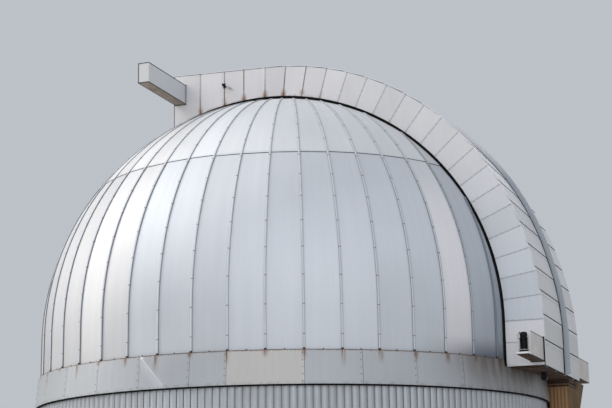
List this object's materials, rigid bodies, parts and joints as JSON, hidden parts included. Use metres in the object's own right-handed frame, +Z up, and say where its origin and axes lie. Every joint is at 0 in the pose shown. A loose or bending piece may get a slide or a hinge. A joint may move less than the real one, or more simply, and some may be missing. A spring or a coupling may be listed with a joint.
{
  "type": "observatory dome",
  "caption": "Round observatory building: clad drum, turning hemispherical dome, and a two-leaf arched shutter that slides apart over the slit.",
  "frame": {"origin": "on the dome's turning axis at ground level, on the underside of the floor slab", "axes": "+Z up along the dome's axis; -Y is the side that the shutter slit faces at rest; +X is the side of the leaf that carries the weather rib; the drive motor is on the -X side"},
  "size_m": [12.764, 13.374, 13.522],
  "materials": {
    "dome_sheet": "weathered satin sheet",
    "leaf_sheet": "weathered satin sheet",
    "skirt_sheet": "weathered paint",
    "wall_cladding": "ribbed sheet",
    "beam_sheet": "weathered paint",
    "brown_steel": "rusty primer",
    "tan_sheet": "dull paint",
    "dark_steel": "greasy dark paint",
    "door_paint": "satin paint",
    "concrete": "dull float finish, stands for concrete"
  },
  "bodies": {
    "building": {"floor_slab": "concrete", "track_rail": "dark_steel", "door_sill": "concrete", "door_frame": "door_paint", "door": "door_paint", "drum_wall_1": "wall_cladding", "drum_wall_2": "wall_cladding", "drum_wall_3": "wall_cladding", "drum_wall_4": "wall_cladding", "drum_wall_5": "wall_cladding", "wall_right_of_door": "wall_cladding", "wall_left_of_door": "wall_cladding", "wall_over_door": "wall_cladding"},
    "dome": {"base_ring": "dark_steel", "skirt_front": "skirt_sheet", "skirt_right": "skirt_sheet", "skirt_rear": "skirt_sheet", "skirt_left": "skirt_sheet", "lower_gores_front_right": "dome_sheet", "lower_gores_right": "dome_sheet", "lower_gores_rear_right": "dome_sheet", "lower_gores_rear_left": "dome_sheet", "lower_gores_left": "dome_sheet", "lower_gores_front_left": "dome_sheet", "upper_gores_right": "dome_sheet", "upper_gores_rear": "dome_sheet", "upper_gores_left": "dome_sheet", "slit_curb_right": "brown_steel", "slit_curb_left": "brown_steel", "slit_curb_rear": "brown_steel", "upper_rail_beam": "beam_sheet", "lower_rail_beam": "beam_sheet", "leaf_sill": "brown_steel", "console": "tan_sheet", "drive_motor": "dark_steel"},
    "left_leaf": {"left_leaf_skin": "leaf_sheet", "left_leaf_side_wall": "leaf_sheet", "left_leaf_rear_wall": "leaf_sheet", "wall_hook": "dark_steel"},
    "right_leaf": {"right_leaf_skin": "leaf_sheet", "right_leaf_side_wall": "leaf_sheet", "right_leaf_rear_wall": "leaf_sheet", "weather_rib": "leaf_sheet"}
  },
  "joints": [
    {"name": "dome_rotation", "type": "hinge", "parent": "building", "child": "dome", "pos_m": [0, 0, 5.33], "axis": [0, 0, 1], "continuous": true},
    {"name": "left_leaf_slide", "type": "slide", "parent": "dome", "child": "left_leaf", "axis": [-1, 0, 0], "range_m": [0, 1.66]},
    {"name": "right_leaf_slide", "type": "slide", "parent": "dome", "child": "right_leaf", "axis": [1, 0, 0], "range_m": [0, 1.66]}
  ],
  "couplings": [
    {"joint": "left_leaf_slide", "follows": "right_leaf_slide", "ratio": 1}
  ]
}
